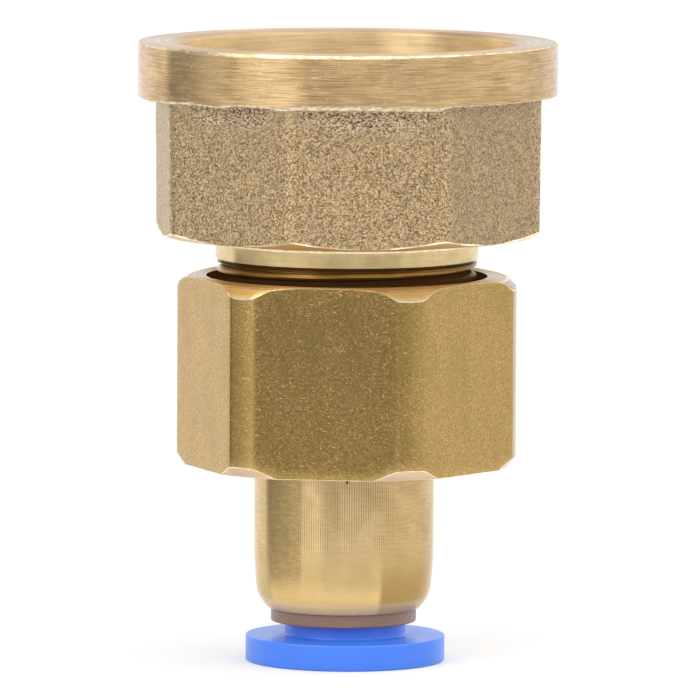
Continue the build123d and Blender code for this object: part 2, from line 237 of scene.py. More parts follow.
def column_mesh(name, angles, corners, looks, bend=None):
    """A closed solid of revolution or prism: the outline through the corners, swept round all angles."""
    count = len(angles)
    spots = np.array(
        [[np.broadcast_to(c.radius, count), np.broadcast_to(c.height, count)] for c in corners]
    )
    rows, row_looks = [], []
    for i, corner in enumerate(corners):
        here, back, ahead = spots[i], spots[i - 1], spots[(i + 1) % len(corners)]
        to_back, to_ahead = back - here, ahead - here
        back_length = np.hypot(*to_back)
        ahead_length = np.hypot(*to_ahead)
        cut = np.minimum(corner.rounding, 0.45 * np.minimum(back_length, ahead_length))
        start = here + to_back / back_length * cut
        end = here + to_ahead / ahead_length * cut
        if np.max(corner.rounding) > 0:
            steps = 5 if np.max(corner.rounding) > 0.1 else 3
            for step in range(steps):
                t = step / (steps - 1)
                rows.append((1 - t) ** 2 * start + 2 * t * (1 - t) * here + t**2 * end)
                row_looks.append(corner.edge)
            row_looks[-1] = corner.look
        else:
            rows.append(here)
            row_looks.append(corner.look)
        after = corners[(i + 1) % len(corners)]
        next_ahead = spots[(i + 2) % len(corners)] - ahead
        next_cut = np.minimum(
            after.rounding, 0.45 * np.minimum(ahead_length, np.hypot(*next_ahead))
        )
        finish = ahead - to_ahead / ahead_length * next_cut
        for step in range(1, corner.rows):
            t = step / corner.rows
            row = end + (finish - end) * t
            if corner.shape:
                row = np.array([corner.shape(angles, row[0], row[1]), row[1]])
            rows.append(row)
            row_looks.append(corner.look)
    outline = np.array(rows)
    radii, heights = outline[:, 0], outline[:, 1]
    if bend:
        radii, heights = bend(angles, radii, heights, np.array(row_looks))
    points = np.stack([radii * np.cos(angles), radii * np.sin(angles), heights], axis=-1) * MM
    total = len(outline)
    here = np.arange(total)[:, None] * count + np.arange(count)
    beside = np.roll(here, -1, axis=1)
    above = np.roll(here, -1, axis=0)
    faces = np.stack([here, beside, np.roll(above, -1, axis=1), above], axis=-1)
    slots = np.repeat(row_looks, count).astype(np.int32)
    points, faces = points.reshape(-1, 3).tolist(), faces.reshape(-1, 4).tolist()
    return add_piece(name, points, faces, looks, slots)


def even_angles(count):
    return np.arange(count) * math.tau / count


def thread(pitch, depth, bottom, top, fade=0.5, root_at=0.0):
    """A shape for Corner: a right-hand thread with rounded crests and roots, cut into a plain wall.

    The depth is negative for a thread cut inwards. A root crosses the angle 0 at the height root_at.
    """

    def shape(angles, radii, heights):
        phase = (heights - root_at) / pitch - angles / math.tau
        swing = 0.5 + 0.5 * np.cos(math.tau * phase)
        rounded = np.clip(1.3 * (swing - 0.5) + 0.45, 0, 1)
        ends = np.clip(np.minimum(heights - bottom, top - heights) / fade, 0, 1)
        return radii + depth * rounded * ends

    return shape


# ---- materials ---------------------------------------------------------------------
class Nodes:
    """Short calls that add nodes to a tree and link them."""

    def __init__(self, tree):
        self.tree = tree

    def plug(self, socket, value):
        if isinstance(value, bpy.types.NodeSocket):
            self.tree.links.new(value, socket)
        else:
            socket.default_value = value

    def node(self, kind, settings=None, **inputs):
        made = self.tree.nodes.new(kind)
        for key, value in (settings or {}).items():
            setattr(made, key, value)
        for key, value in inputs.items():
            self.plug(made.inputs[key.replace("_", " ")], value)
        return made

    def math(self, operation, first, second=0.0, third=0.0):
        made = self.node("ShaderNodeMath", {"operation": operation})
        for socket, value in zip(made.inputs, (first, second, third)):
            self.plug(socket, value)
        return made.outputs[0]

    def ramp(self, value, low, high, to_low=0.0, to_high=1.0):
        """A smooth step from to_low to to_high as value goes from low to high."""
        made = self.node("ShaderNodeMapRange", {"interpolation_type": "SMOOTHSTEP"}, Value=value)
        for socket, number in zip(
            ("From Min", "From Max", "To Min", "To Max"), (low, high, to_low, to_high)
        ):
            self.plug(made.inputs[socket], number)
        return made.outputs["Result"]

    def length(self, vector):
        made = self.node("ShaderNodeVectorMath", {"operation": "LENGTH"}, Vector=vector)
        return made.outputs["Value"]


class Look(Nodes):
    """A material whose nodes are made by short calls. Lengths in its calls are in millimetres."""

    def __init__(self, name, colour, roughness, metallic=0.0):
        self.material = bpy.data.materials.new(name)
        self.material.use_nodes = True
        super().__init__(self.material.node_tree)
        self.shader = self.tree.nodes["Principled BSDF"]
        self.set("Base Color", (*colour, 1))
        self.set("Roughness", roughness)
        self.set("Metallic", metallic)
        self.place = self.node("ShaderNodeTexCoord").outputs["Object"]
        split = self.node("ShaderNodeSeparateXYZ", Vector=self.place)
        self.x, self.y, self.z = split.outputs
        normal = self.node("ShaderNodeTexCoord").outputs["Normal"]
        self.upright = self.node("ShaderNodeSeparateXYZ", Vector=normal).outputs[2]
        flat = self.node("ShaderNodeCombineXYZ", X=self.x, Y=self.y).outputs[0]
        self.across = self.length(flat)
        self.height = None

    def set(self, socket, value):
        """Gives one of the shader's sockets a value, or links a node's output to it."""
        self.plug(self.shader.inputs[socket], value)

    def blend(self, share, first, second):
        """A number from first to second by share."""
        return self.math("MULTIPLY_ADD", share, self.math("SUBTRACT", second, first), first)

    def scaled(self, scale, seed):
        """The place on the piece, scaled, and moved by seed so that no two patterns agree."""
        moved = (seed, seed * 0.37, seed * 0.61)
        made = self.node("ShaderNodeMapping", Vector=self.place, Scale=scale, Location=moved)
        return made.outputs[0]

    def noise(self, across, along=None, detail=2.0, rough=0.5, distortion=0.0, seed=0.0):
        """Noise with grains about across mm wide, and along mm tall in Z where given."""
        flat = 1 / (across * MM)
        tall = flat if along is None else 1 / (along * MM)
        made = self.node(
            "ShaderNodeTexNoise",
            Vector=self.scaled((flat, flat, tall), seed),
            Scale=1.0,
            Detail=detail,
            Roughness=rough,
            Distortion=distortion,
        )
        return made.outputs[0]

    def cells(self, size, seed=0.0):
        """A random value from 0 to 1 for each grain about size mm across."""
        place = self.scaled((1 / (size * MM),) * 3, seed)
        return self.node("ShaderNodeTexVoronoi", Vector=place, Scale=1.0).outputs["Color"]

    def sector(self, start, end, soft=2.0):
        """1 between two azimuths, in degrees to the right of the camera's, and 0 outside them.

        It is fixed to the piece. Most of its uses paint the light of the main view, not the metal.
        """
        across, ahead = math.cos(view_azimuth), math.sin(view_azimuth)
        aside = self.math("MULTIPLY_ADD", self.y, ahead, self.math("MULTIPLY", self.x, across))
        nearer = self.math("MULTIPLY_ADD", self.y, -across, self.math("MULTIPLY", self.x, ahead))
        bearing = self.math("ARCTAN2", aside, nearer)
        after = self.ramp(bearing, math.radians(start - soft), math.radians(start + soft))
        before = self.ramp(bearing, math.radians(end + soft), math.radians(end - soft))
        return self.math("MULTIPLY", after, before)

    def mix(self, share, first, second):
        """A colour from first to second by share."""
        made = self.tree.nodes.new("ShaderNodeMix")
        made.data_type = "RGBA"
        self.plug(made.inputs["Factor"], share)
        for socket, value in zip(("A", "B"), (first, second)):
            target = [s for s in made.inputs if s.name == socket and s.type == "RGBA"][0]
            self.plug(target, value if isinstance(value, bpy.types.NodeSocket) else (*value, 1))
        return [s for s in made.outputs if s.type == "RGBA"][0]

    def tint(self, share, amount, base, colour):
        """The colour base, moved towards another by share times amount."""
        return self.mix(self.math("MULTIPLY", share, amount), base, colour)

    def base(self):
        """What is linked to the base colour so far."""
        return self.shader.inputs["Base Color"].links[0].from_socket

    def raise_by(self, height, depth):
        """Adds height, a value from 0 to 1, to the surface relief, depth mm deep."""
        part = self.math("MULTIPLY", height, depth * MM)
        self.height = part if self.height is None else self.math("ADD", self.height, part)

    def hairs(self, long, thin, tilt, seed, level=0.64):
        """Fine scratches about long by thin mm, tilted in degrees from the horizontal, from 0 to 1."""
        mapped = self.node(
            "ShaderNodeMapping",
            {"vector_type": "TEXTURE"},
            Vector=self.place,
            Rotation=(0, math.radians(tilt), 0),
            Scale=(long * MM, long * MM, thin * MM),
            Location=(seed, seed * 0.7, seed * 0.3),
        )
        made = self.node("ShaderNodeTexNoise", Vector=mapped.outputs[0], Scale=1.0, Detail=0.0)
        return self.ramp(made.outputs[0], level, level + 0.07)

    def done(self):
        if self.height is not None:
            bump = self.node("ShaderNodeBump", Strength=1.0, Distance=1.0, Height=self.height)
            self.set("Normal", bump.outputs[0])
        return self.material


def turned_brass(name, colour, roughness=0.3, depth=0.012, line=0.14, long=2.2, streaks=0.5):
    """Brass with fine turning lines round the flow axis: level lines on walls, rings on faces."""
    look = Look(name, colour, roughness, metallic=1.0)
    look.set("Anisotropic", 1.0)
    look.set("Anisotropic Rotation", 0.25)
    tangent = look.node("ShaderNodeTangent", {"direction_type": "RADIAL", "axis": "Z"})
    look.set("Tangent", tangent.outputs[0])
    fine = look.noise(long, line, detail=3.0, rough=0.65)
    broad = look.noise(long * 3, line * 4, detail=2.0, seed=3)
    outwards = look.node("ShaderNodeCombineXYZ", X=look.math("DIVIDE", look.across, 2 * line * MM))
    rings = look.node("ShaderNodeTexNoise", Vector=outwards.outputs[0], Scale=1.0, Detail=3.0)
    facing = look.ramp(look.math("ABSOLUTE", look.upright), 0.5, 0.9)
    fine = look.blend(facing, fine, rings.outputs[0])
    look.raise_by(fine, depth)
    look.raise_by(broad, depth)
    stain = look.ramp(look.noise(2.5, detail=3.0, seed=11), 0.42, 0.68)
    streak = look.noise(long * 1.3, line * 0.8, detail=3.0, rough=0.65, seed=17)
    shade = look.math("MULTIPLY", look.ramp(streak, 0.34, 0.68), streaks)
    shade = look.blend(facing, shade, look.ramp(rings.outputs[0], 0.34, 0.68, 0.0, 0.35))
    shade = look.math("MULTIPLY_ADD", stain, look.blend(facing, 0.25, 0.12), shade)
    light = tuple(min(c * 1.1, 1.0) for c in colour)
    dark = tuple(c * s for c, s in zip(colour, (0.60, 0.54, 0.46)))
    look.set("Base Color", look.mix(shade, light, dark))
    look.set("Roughness", look.ramp(fine, 0.3, 0.7, roughness * 0.9, roughness * 1.15))
    return look


def neck_brass():
    """The neck: fine turning lines, chatter marks, paler satin where its end is rolled in, and painted
    light and shade by azimuth.
    """
    look = turned_brass(
        "brass_neck", (0.67, 0.485, 0.24), 0.2, depth=0.005, line=0.08, long=1.1, streaks=0.5
    )
    chatter_marks = 236     # in a turn
    pit_place = (1.05 * MM, -6.85 * MM, 14.48 * MM)
    smooth = look.ramp(look.z, 10.0 * MM, 7.6 * MM)
    look.height = look.math("MULTIPLY", look.height, look.math("MULTIPLY_ADD", smooth, -0.75, 1.0))
    turn = look.math("ARCTAN2", look.y, look.x)
    ripple = look.math("SINE", look.math("MULTIPLY", turn, chatter_marks))
    patchy = look.ramp(look.noise(1.6, 3.0, detail=2.0, seed=21), 0.34, 0.56, 0.3, 1.0)
    zone = look.math("MULTIPLY", patchy, look.ramp(look.z, 8.0 * MM, 10.2 * MM))
    zone = look.math("MULTIPLY", zone, look.sector(-32, 34, 7))
    look.raise_by(look.math("MULTIPLY", ripple, zone), 0.001)
    stain = look.ramp(look.noise(2.0, 3.0, detail=3.0, seed=29), 0.4, 0.62)
    lines = look.math("MULTIPLY", look.ramp(ripple, -0.1, -1.0), look.math("MULTIPLY", zone, 0.8))
    pit = look.node("ShaderNodeVectorMath", {"operation": "DISTANCE"})
    look.plug(pit.inputs[0], look.place)
    pit.inputs[1].default_value = pit_place
    # painted light: the front's brighter, then a mottled dark band to its left
    base = look.tint(look.sector(-29, 22, 3), 0.45, look.base(), (0.86, 0.65, 0.35))
    base = look.tint(smooth, 0.6, base, (0.60, 0.425, 0.18))
    base = look.tint(stain, 0.3, base, (0.46, 0.33, 0.13))
    band = look.math("MULTIPLY", look.sector(-57, -29, 0.7), look.ramp(look.z, 6.0 * MM, 7.5 * MM))
    mottled = look.ramp(look.noise(0.6, 0.12, detail=3.0, rough=0.6, seed=37), 0.36, 0.62, 0.35, 0.7)
    base = look.tint(band, mottled, base, (0.34, 0.24, 0.09))
    base = look.mix(lines, base, (0.28, 0.19, 0.08))
    # the rolled end's paler satin is the metal's; leaving it out on the left by azimuth is painted shade
    ragged = look.math("MULTIPLY_ADD", look.noise(2.2, detail=4.0, rough=0.7, seed=14), 1.6 * MM, look.z)
    rolled = look.math("MULTIPLY", look.ramp(ragged, 7.8 * MM, 6.2 * MM), look.sector(-56, 150, 3))
    base = look.tint(rolled, 0.8, base, (0.81, 0.565, 0.245))
    # painted light: the shade on the right of the rolled end and its lip
    right = look.math("MULTIPLY", look.sector(24, 160, 2), look.sector(-90, 72, 18))
    dark = look.math("MULTIPLY", look.ramp(look.z, 9.6 * MM, 5.6 * MM), right)
    base = look.tint(dark, 0.95, base, (0.41, 0.26, 0.095))
    lip = look.ramp(look.z, 5.25 * MM, 4.75 * MM)
    lit = look.math("MULTIPLY_ADD", right, -0.45, 0.85)
    base = look.tint(lip, lit, base, (0.88, 0.60, 0.26))
    look.set("Metallic", look.math("MULTIPLY_ADD", lip, -0.9, 1.0))
    hole = look.ramp(pit.outputs["Value"], 0.13 * MM, 0.07 * MM)
    look.set("Base Color", look.mix(hole, base, (0.02, 0.015, 0.012)))
    return look.done()


def crown_brass():
    """Freshly faced golden brass on the hexagon's top ring and chamfer; its deep orange, darker on the
    ring, is painted reflection of the brass above it.
    """
    look = turned_brass(
        "brass_crown", (0.86, 0.51, 0.16), 0.4, depth=0.01, line=0.1, long=4.0, streaks=0.4
    )
    look.set("Metallic", 0.75)
    groove_pitch = 0.16
    turns = look.math("MULTIPLY", look.across, math.tau / (groove_pitch * MM))
    grooves = look.ramp(look.math("SINE", turns), 0.0, 1.0)
    chamfer = look.ramp(look.across, 12.0 * MM, 12.3 * MM)
    # painted light: the left of the chamfer brighter, and both far sides greyer
    outside = look.mix(look.sector(-80, -5, 20), (0.66, 0.44, 0.17), (1.0, 0.66, 0.24))
    # painted reflection: a darker orange on the top ring and a brighter gold on the chamfer
    base = look.mix(chamfer, (0.62, 0.35, 0.12), outside)
    base = look.tint(grooves, 0.35, base, (0.52, 0.30, 0.09))
    look.set("Base Color", look.mix(look.sector(-62, 56, 5), (0.60, 0.46, 0.31), base))
    return look.done()


def thread_brass(name, golden_below, painted_shade_colour):
    """Thread: golden crests, with painted shade in the roots and from golden_below up to just above the
    body's mouth.
    """
    look = turned_brass(name, (0.74, 0.49, 0.19), 0.32, depth=0.006, line=0.1, long=4.0, streaks=0.3)
    root, crest = 9.5, 9.88
    groove_shade_from, groove_shade_to = 30.55, 30.8
    # painted shade: dark in the roots, and from golden_below up to just above the body's mouth
    golden_part = look.ramp(look.across, root * MM, crest * MM)
    unshaded_above_mouth = look.ramp(look.z, (hex_top + 0.05) * MM, (hex_top + 0.4) * MM)
    deep = look.ramp(look.z, (golden_below + 0.3) * MM, golden_below * MM)
    shade = look.math("MULTIPLY", golden_part, look.math("MAXIMUM", unshaded_above_mouth, deep))
    # painted shade: the crests darken into the groove under the band
    high = look.ramp(look.z, groove_shade_from * MM, groove_shade_to * MM)
    golden = look.mix(high, (0.50, 0.29, 0.085), (0.24, 0.12, 0.03))
    golden = look.mix(deep, golden, (0.72, 0.48, 0.20))
    look.set("Base Color", look.mix(shade, painted_shade_colour, golden))
    look.set("Metallic", shade)
    look.set("Specular IOR Level", 0.0)
    return look.done()


def foot_brass():
    """The pale chamfer round the hexagon's foot."""
    look = turned_brass(
        "brass_foot", (0.76, 0.57, 0.39), 0.32, depth=0.006, line=0.3, long=3.0, streaks=0.3
    )
    return look.done()


def band_brass():
    """The plain band between the threads and the forging; its paler brass is painted light."""
    look = turned_brass(
        "brass_band", (1.0, 0.775, 0.44), 0.36, depth=0.006, line=0.09, long=2.5, streaks=0.12
    )
    patch = look.ramp(look.noise(1.1, detail=3.0, rough=0.65, seed=33), 0.42, 0.66)
    look.set("Base Color", look.tint(patch, 0.25, look.base(), (0.72, 0.48, 0.22)))
    return look.done()


def bore_brass():
    """The socket's bright bored inside."""
    look = turned_brass(
        "brass_bore", (0.86, 0.66, 0.37), 0.4, depth=0.01, line=0.2, long=3.0, streaks=0.35
    )
    look.set("Metallic", 0.65)
    return look.done()


def face_brass():
    """The collar's faced top."""
    look = turned_brass(
        "brass_face", (0.56, 0.405, 0.26), 0.34, depth=0.004, line=0.3, long=3.0, streaks=0.12
    )
    return look.done()


def collar_brass():
    """The turned collar, with streaks and a few dents."""
    look = turned_brass(
        "brass_collar", (0.72, 0.51, 0.27), 0.26, depth=0.008, line=0.08, long=2.2, streaks=0.85
    )
    look.raise_by(look.hairs(3.0, 0.06, 1.0, 31.0), -0.016)
    look.raise_by(look.hairs(0.3, 0.2, 0.0, 37.0, level=0.74), -0.02)
    # painted light: a lighter patch on the left and a darker one on the right
    base = look.tint(look.sector(-53, -37, 4), 0.3, look.base(), (0.92, 0.67, 0.37))
    look.set("Base Color", look.tint(look.sector(21, 36, 4), 0.25, base, (0.44, 0.30, 0.14)))
    return look.done()


def drawn_brass():
    """The hexagon's drawn flats: fine even grain, flecks and short scratches."""
    look = Look("brass_flats", (0.58, 0.38, 0.13), 0.2, metallic=1.0)
    grain = look.math("MULTIPLY_ADD", look.cells(0.12, 5.0), 0.25, look.noise(0.14, 0.12, rough=0.8))
    look.raise_by(look.noise(0.3, 0.2, detail=3.0, rough=0.7), 0.006)
    marks = look.ramp(look.noise(0.13, 0.09, detail=0.0, seed=15), 0.76, 0.86)
    for long, thin, tilt, seed, level in (
        (0.45, 0.045, 3, 3.0, 0.79),
        (0.45, 0.04, -38, 7.0, 0.81),
        (0.45, 0.04, 52, 13.0, 0.81),
        (0.8, 0.04, -2, 19.0, 0.80),
    ):
        marks = look.math("MAXIMUM", marks, look.hairs(long, thin, tilt, seed, level))
    look.raise_by(marks, 0.004)
    stain = look.ramp(look.noise(2.6, 4.5, detail=3.0, seed=2), 0.4, 0.62)
    base = look.mix(stain, (0.655, 0.42, 0.16), (0.56, 0.37, 0.13))
    base = look.mix(look.ramp(grain, 0.80, 0.46), base, (0.40, 0.265, 0.082))
    look.set("Base Color", look.tint(marks, 0.42, base, (0.95, 0.80, 0.55)))
    look.set("Roughness", look.ramp(look.noise(0.3, detail=2.0, seed=4), 0.3, 0.7, 0.16, 0.24))
    return look.done()


def forged_brass():
    """Blasted forging skin: sandy grain, coarser and darker close under the collar's overhang, where the
    coarse grain is the forging's own and the darkness is painted shade.
    """
    look = Look("brass_forged", (0.46, 0.34, 0.17), 0.42, metallic=1.0)
    grain = look.noise(0.15, 0.125, detail=3.0, rough=0.85)
    look.raise_by(grain, 0.024)
    grain = look.math("MULTIPLY_ADD", look.cells(0.13), 0.3, grain)
    coarse = look.noise(0.19, 0.13, detail=3.0, rough=0.75, distortion=0.2, seed=6)
    # painted shade: the darker band under the collar reaches further down where a flat lies deeper under
    # the overhang
    overhang = look.ramp(look.across, 15.3 * MM, 14.5 * MM)
    ragged = look.math("MULTIPLY_ADD", look.noise(1.3, detail=3.0, seed=8), 1.6 * MM, look.z)
    ragged = look.math("MULTIPLY_ADD", overhang, 1.0 * MM, ragged)
    near_collar = look.ramp(ragged, (collar_bottom - 1.0) * MM, (collar_bottom + 0.4) * MM)
    coarse_sides = look.math("MAXIMUM", look.sector(-54, -21, 4), look.sector(-16, 28, 3))
    coarse_share = look.math("MULTIPLY_ADD", coarse_sides, 0.75, 0.2)
    near_collar = look.math("MULTIPLY", near_collar, coarse_share)
    look.raise_by(look.math("MULTIPLY", coarse, near_collar), 0.06)
    base = look.mix(look.ramp(grain, 0.48, 0.82), (0.17, 0.11, 0.04), (0.85, 0.63, 0.36))
    base = look.mix(look.ramp(grain, 0.86, 0.96), base, (1.0, 0.90, 0.66))
    blush = look.ramp(look.noise(0.45, detail=3.0, rough=0.7, seed=12), 0.42, 0.62)
    base = look.tint(blush, 0.3, base, (0.50, 0.34, 0.24))
    # painted light: the side that faces right is darker
    base = look.tint(look.sector(31, 72, 2), 0.35, base, (0.30, 0.21, 0.135))
    zone = look.mix(look.ramp(coarse, 0.40, 0.60), (0.11, 0.065, 0.03), (0.86, 0.67, 0.45))
    look.set("Base Color", look.mix(near_collar, base, zone))
    return look.done()


def burr_brass():
    """The thin raw edge that turning left between the collar and the forging."""
    look = Look("brass_burr", (0.85, 0.74, 0.56), 0.4, metallic=1.0)
    look.raise_by(look.noise(0.25, detail=2.0), 0.03)
    stain = look.ramp(look.noise(0.4, 0.2, detail=2.0, seed=3), 0.4, 0.62)
    look.set("Base Color", look.mix(stain, (0.86, 0.74, 0.55), (0.60, 0.45, 0.28)))
    return look.done()


def rim_brass():
    """The collar's chipped bright rim."""
    look = Look("brass_rim", (0.9, 0.75, 0.5), 0.34, metallic=1.0)
    stain = look.ramp(look.noise(1.2, 0.3, detail=3.0, rough=0.7, seed=5), 0.42, 0.6)
    look.set("Base Color", look.mix(stain, (0.82, 0.69, 0.46), (0.58, 0.41, 0.21)))
    look.raise_by(look.noise(0.5, 0.15, detail=2.0), 0.015)
    return look.done()


def edge_brass():
    """Burnished edges in pale brass, partly the burnish and partly a painted highlight along them."""
    look = Look("brass_edge", (0.95, 0.88, 0.72), 0.3, metallic=1.0)
    stain = look.ramp(look.noise(0.8, detail=2.0), 0.4, 0.6)
    look.set("Base Color", look.mix(stain, (0.97, 0.89, 0.70), (0.84, 0.68, 0.42)))
    look.raise_by(look.noise(0.4, detail=2.0), 0.01)
    return look.done()


def plastic(name, colour, roughness=0.4, depth=0.004, glow=0.0, shade=0.86):
    """Moulded plastic with a faint orange-peel skin."""
    look = Look(name, colour, roughness)
    look.set("Subsurface Weight", glow)
    look.set("Subsurface Radius", (0.4, 0.6, 1.0))
    look.set("Subsurface Scale", 0.8 * MM)
    skin = look.noise(1.5, detail=1.0, rough=0.5)
    look.raise_by(look.noise(3.0, detail=1.0, seed=4), depth * 2)
    patch = look.noise(4.0, detail=2.0, seed=9)
    darker = tuple(c * shade for c in colour)
    look.set("Base Color", look.mix(look.ramp(patch, 0.35, 0.65), colour, darker))
    look.set("Roughness", look.ramp(skin, 0.3, 0.7, roughness * 0.95, roughness * 1.1))
    return look.done()


def rubber():
    look = Look("seal_rubber", (0.022, 0.022, 0.024), 0.55)
    skin = look.noise(0.35, detail=3.0)
    look.raise_by(skin, 0.006)
    look.set("Base Color", look.mix(look.ramp(skin, 0.3, 0.7), (0.018, 0.018, 0.02), (0.04, 0.04, 0.043)))
    look.set("Roughness", look.ramp(skin, 0.3, 0.7, 0.45, 0.65))
    return look.done()


def steel(name, colour, roughness, line=0.08):
    look = Look(name, colour, roughness, metallic=1.0)
    rub = look.noise(1.2, line, detail=3.0)
    look.raise_by(rub, 0.003)
    look.set("Base Color", look.mix(rub, colour, tuple(c * 0.8 for c in colour)))
    look.set("Roughness", look.ramp(rub, 0.3, 0.7, roughness * 0.8, roughness * 1.3))
    return look.done()


looks = {
    "neck": neck_brass(),
    "crown": crown_brass(),
    "foot": foot_brass(),
    # painted shade in the thread's roots and at the body's mouth; inside the body the whole thread is
    # painted shade
    "thread": thread_brass("brass_thread", hex_top - 0.7, (0.085, 0.04, 0.014)),
    "cavity": thread_brass("brass_cavity", cavity_floor, (0.15, 0.075, 0.027)),
    "band": band_brass(),
    "bore": bore_brass(),
    "face": face_brass(),
    "flats": drawn_brass(),
    "turned": turned_brass("brass_turned", (0.64, 0.43, 0.19)).done(),
    "collar": collar_brass(),
    "forged": forged_brass(),
    "burr": burr_brass(),
    "edge": edge_brass(),
    "rim": rim_brass(),
    "blue": plastic("blue_plastic", (0.060, 0.225, 0.90), 0.3, depth=0.001, glow=0.2, shade=0.95),
    "brown": plastic("brown_plastic", (0.29, 0.17, 0.12), 0.36, depth=0.002, glow=0.1),
    "white": plastic("white_plastic", (0.72, 0.71, 0.67), 0.42, glow=0.2),
    "grey": plastic("grey_plastic", (0.28, 0.29, 0.30), 0.45),
    "rubber": rubber(),
    "spring": steel("spring_steel", (0.52, 0.52, 0.53), 0.3),
    "stainless": steel("stainless_steel", (0.62, 0.61, 0.59), 0.28, line=0.3),
}

# ---- hexagon body ------------------------------------------------------------------
hex_edge = math.acos(hex_flat / hex_corner)
hex_bevel = math.radians(0.16)
root_height = 0.248     # where the body thread's roots cross the angle 0, in pitches


def hex_columns():
    """Column angles and radii of the hexagon with its corners turned off round."""
    half = math.radians(30)
    flats = np.linspace(-hex_edge + hex_bevel, hex_edge - hex_bevel, 36)
    corner = np.linspace(hex_edge + hex_bevel, 2 * half - hex_edge - hex_bevel, 14)
    sides = [side * 2 * half - math.pi / 2 for side in range(6)]
    angles = np.concatenate([middle + group for middle in sides for group in (flats, corner)])
    local = (angles + math.pi / 2 + half) % (2 * half) - half
    flat_radii = hex_flat / np.cos(local)
    return angles, hex_corner * ((flat_radii / hex_corner) ** -300.0 + 1) ** (-1 / 300)


def arc(start, end, radius, count, side=1):
    """Points between two (radius, height) points, on an arc that bulges outwards, or in for side -1."""
    start, end = np.array(start), np.array(end)
    chord = end - start
    length = np.hypot(*chord)
    inwards = np.array([-chord[1], chord[0]]) / length
    centre = (start + end) / 2 + side * inwards * math.sqrt(radius**2 - length**2 / 4)
    first = math.atan2(*(start - centre)[::-1])
    last = math.atan2(*(end - centre)[::-1])
    turns = np.linspace(first, last, count + 2)[1:-1]
    return [centre + radius * np.array([math.cos(a), math.sin(a)]) for a in turns]


def make_hex_body():
    angles, facet = hex_columns()
    names = ("neck", "flats", "turned", "edge", "crown", "cavity", "foot")
    look = {name: i for i, name in enumerate(names)}
    wobble = 0.015 * around(angles, 40, 3.1)
    turn = np.abs((angles + math.pi / 2) % math.radians(60) - math.radians(30))
    dip = hex_dip * np.clip(1 - (turn / math.radians(9)) ** 2, 0, 1)
    foot = np.minimum(hex_foot, facet - 0.02)
    steep = 1 - np.clip((hex_corner - facet) / (hex_corner - hex_foot), 0, 1) ** 1.5
    foot_rise = np.maximum(steep * hex_foot_height + 0.5 * dip + wobble, 0.03)
    crown_drop = np.interp(facet, hex_crown, hex_crown_drop) + dip + wobble
    crown = [
        Corner(
            np.minimum(radius, facet - 0.012 * (i + 1)),
            hex_top - np.minimum(drop, crown_drop - 0.01 * (i + 1)),
            look=look["crown"],
        )
        for i, (radius, drop) in enumerate(reversed(list(zip(hex_crown[1:-1], hex_crown_drop[1:-1]))))
    ]
    # painted highlight: a pale line between the top ring and the chamfer
    crown[3].look = look["edge"]
    crown[3].height = crown[3].height + 0.03

    def set_aside(angles, radii, heights, row_looks):
        outer = row_looks == look["neck"]
        outer |= (row_looks == look["edge"]) & (heights[:, 0] < roll_top)
        return radii - outer[:, None] * neck_aside * np.cos(angles - view_azimuth), heights

    roll = arc((lip_outer, neck_end), (roll_top_radius, roll_top), roll_radius, 12)
    female = thread(
        body_pitch, -body_thread_depth, cavity_floor, hex_top - 0.5, root_at=root_height
    )
    corners = [
        Corner(lip_inner, neck_end, 0.03),
        Corner(lip_outer, neck_end, 0.05, look["neck"], look["edge"]),
        *[Corner(radius, height, look=look["neck"]) for radius, height in roll],
        Corner(roll_top_radius, roll_top, rows=4),
        Corner(neck_radius - 0.03, taper_top - 0.7),
        Corner(neck_radius, taper_top, rows=12),
        Corner(neck_radius, hex_bottom, 0.06, look["foot"], look["neck"]),
        Corner(foot, hex_bottom, 0.04, look["foot"], look["edge"], rows=2),
        Corner(facet, hex_bottom + foot_rise, 0.045, look["flats"], look["edge"], rows=16),
        Corner(facet, hex_top - crown_drop, 0.06, look["crown"], look["edge"]),
        *crown,
        Corner(hex_crown[0], hex_top, 0.03, look["crown"]),
        Corner(cavity_mouth, hex_top, 0.05, look["cavity"], look["crown"]),
        Corner(cavity_radius, hex_top - 0.76, 0.0, look["cavity"], rows=118, shape=female),
        Corner(cavity_radius, cavity_floor, 0.0, look["turned"]),
        Corner(flow_bore, cavity_floor, 0.05, look["turned"]),
        Corner(flow_bore, tube_stop, 0.05, look["turned"]),
        Corner(tube_bore, tube_stop, 0.0, look["turned"]),
        Corner(tube_bore, seal_shoulder, 0.05, look["turned"]),
        Corner(neck_bore, seal_shoulder, 0.0, look["turned"]),
        Corner(neck_bore, neck_end + 1.35, 0.03, look["turned"]),
        Corner(lip_inner, neck_end + 0.5, 0.02, look["turned"]),
    ]
    piece = column_mesh("valve_body", angles, corners, [looks[k] for k in look], bend=set_aside)
    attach(piece, "fitting")
    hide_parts("hex_body")


# ---- socket adapter ----------------------------------------------------------------
def octagon_columns():
    """Column angles and radii of the octagon with rounded corners."""
    half = math.pi / 8
    inset = (octagon_flat - octagon_round) / math.cos(half)
    reach = math.atan2(octagon_round * math.sin(half), inset + octagon_round * math.cos(half))
    bends = np.linspace(-half, half, 13)
    across = np.arctan2(octagon_round * np.sin(bends), inset + octagon_round * np.cos(bends))
    across_radii = np.hypot(octagon_round * np.sin(bends), inset + octagon_round * np.cos(bends))
    flats = np.linspace(-half + reach, half - reach, 52)[1:-1]
    angles, radii = [], []
    for side in range(8):
        middle = math.radians(octagon_turn) - math.pi / 2 + side * 2 * half
        angles.extend(middle + flats)
        radii.extend(octagon_flat / np.cos(flats))
        angles.extend(middle + half + across)
        radii.extend(across_radii)
    return np.array(angles), np.array(radii)


